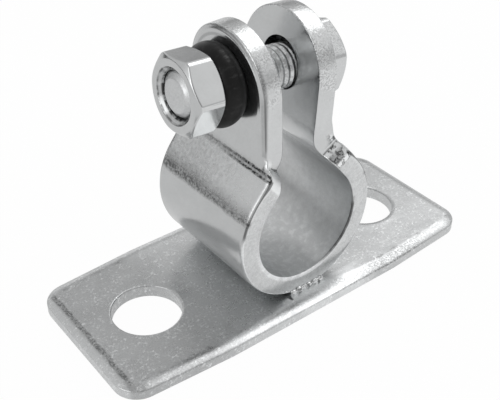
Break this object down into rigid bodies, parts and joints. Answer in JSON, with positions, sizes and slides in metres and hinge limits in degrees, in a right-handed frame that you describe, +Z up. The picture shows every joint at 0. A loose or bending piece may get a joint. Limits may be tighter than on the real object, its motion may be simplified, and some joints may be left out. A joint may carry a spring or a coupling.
{
  "type": "linear shaft support",
  "caption": "Pipe or shaft support: a folded steel band, welded to a long flat base plate, grips a round bar when a hexagon bolt and nut draw its two ears together.",
  "frame": {"origin": "middle of the base plate's underside, straight below the middle of the bore", "axes": "+Z up, square on the plate; X along the plate, with the bolt's head towards +X and its nut towards -X; Y along the bore"},
  "size_m": [0.1, 0.0424, 0.0656],
  "materials": {
    "plate_steel": "bright zinc plating, satin",
    "band_steel": "bright zinc plating, satin, speckled",
    "weld_steel": "plated weld metal, lumpy",
    "bolt_steel": "bright zinc plating",
    "nut_steel": "bright zinc plating",
    "ring_rubber": "black rubber, slight sheen"
  },
  "bodies": {
    "root": {"base_plate": "plate_steel", "clamp_band": "band_steel", "front_weld": "weld_steel", "rear_weld": "weld_steel", "hex_bolt": "bolt_steel", "hex_nut": "nut_steel", "rubber_ring": "ring_rubber"}
  },
  "joints": []
}
